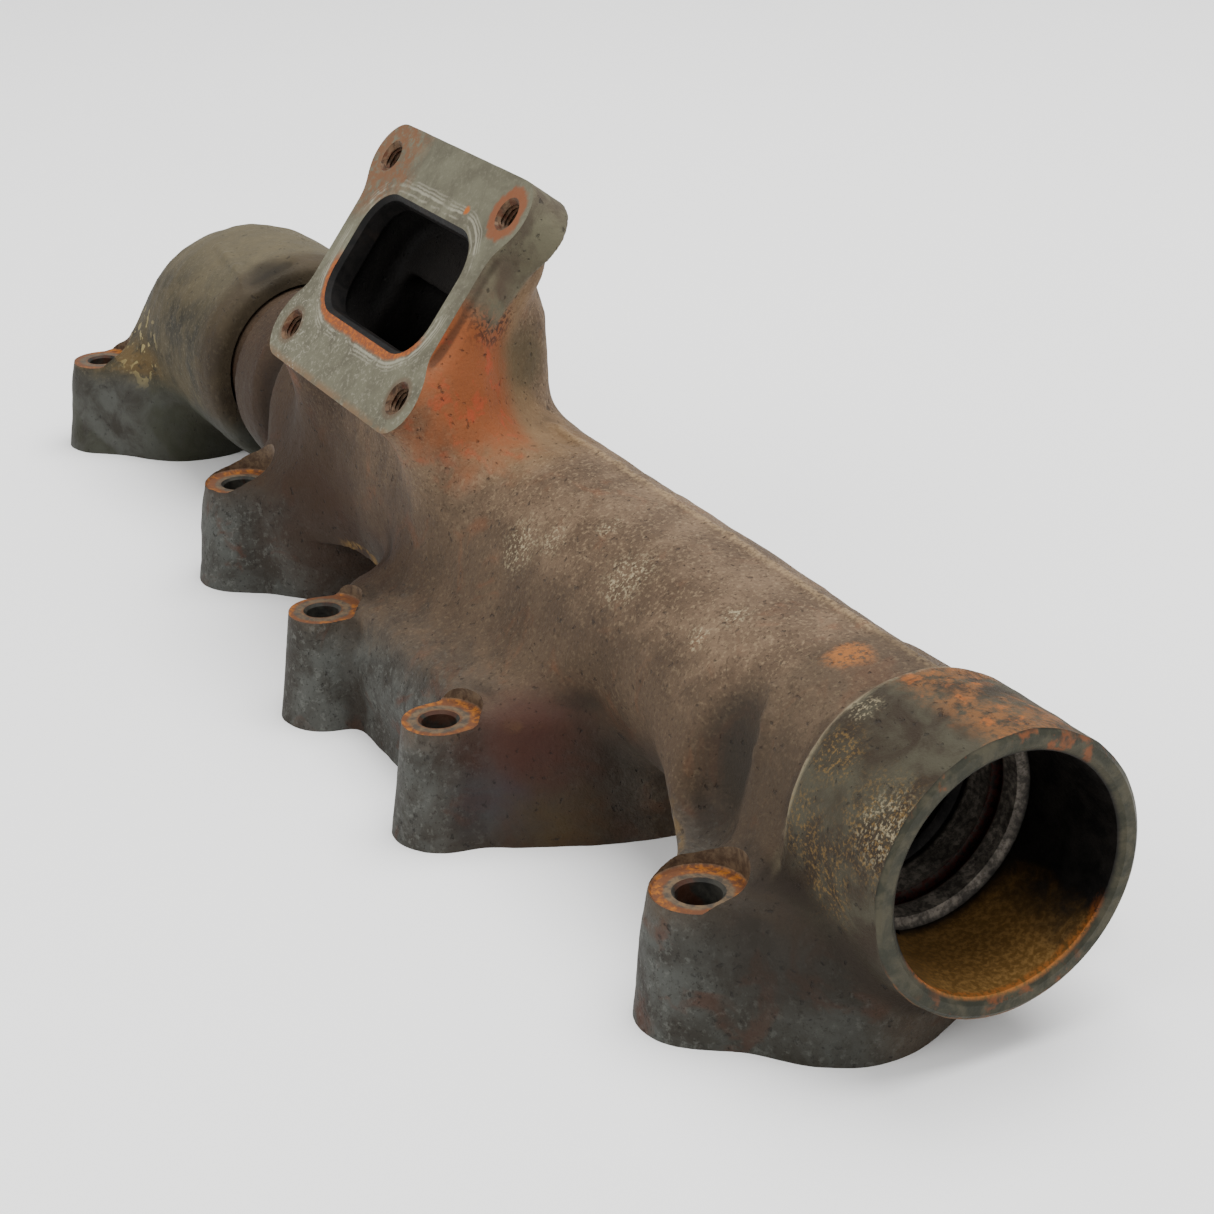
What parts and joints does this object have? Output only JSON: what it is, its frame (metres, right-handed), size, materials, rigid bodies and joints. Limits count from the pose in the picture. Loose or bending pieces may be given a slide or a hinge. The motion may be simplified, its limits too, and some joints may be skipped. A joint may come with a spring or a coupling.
{
  "type": "exhaust manifold",
  "caption": "Sectional cast-iron exhaust manifold for an in-line engine: centre section with turbocharger flange and open socket, and an elbow on a ring-sealed slip joint.",
  "frame": {"origin": "centre of the middle port of the centre section, on the cylinder head face", "axes": "+X along the log towards the open socket, +Z away from the cylinder head, +Y from the front bolts to the rear ones"},
  "size_m": [0.584, 0.156, 0.1663],
  "materials": {
    "casting": "sand cast, heat-stained and rusted",
    "elbow_casting": "sand cast, heat-stained olive grey",
    "ring_metal": "turned, heat-stained"
  },
  "bodies": {
    "centre": {"centre_section": "casting"},
    "ring_pack": {"seal_ring_1": "ring_metal", "seal_ring_2": "ring_metal", "seal_ring_3": "ring_metal"},
    "elbow": {"elbow_section": "elbow_casting"}
  },
  "joints": [
    {"name": "elbow_turn", "type": "hinge", "parent": "centre", "child": "ring_pack", "pos_m": [-0.27, 0.0236, 0.052], "axis": [1, 0, 0], "continuous": true},
    {"name": "slip", "type": "slide", "parent": "ring_pack", "child": "elbow", "axis": [1, 0, 0], "range_m": [-0.006, 0.009]}
  ]
}
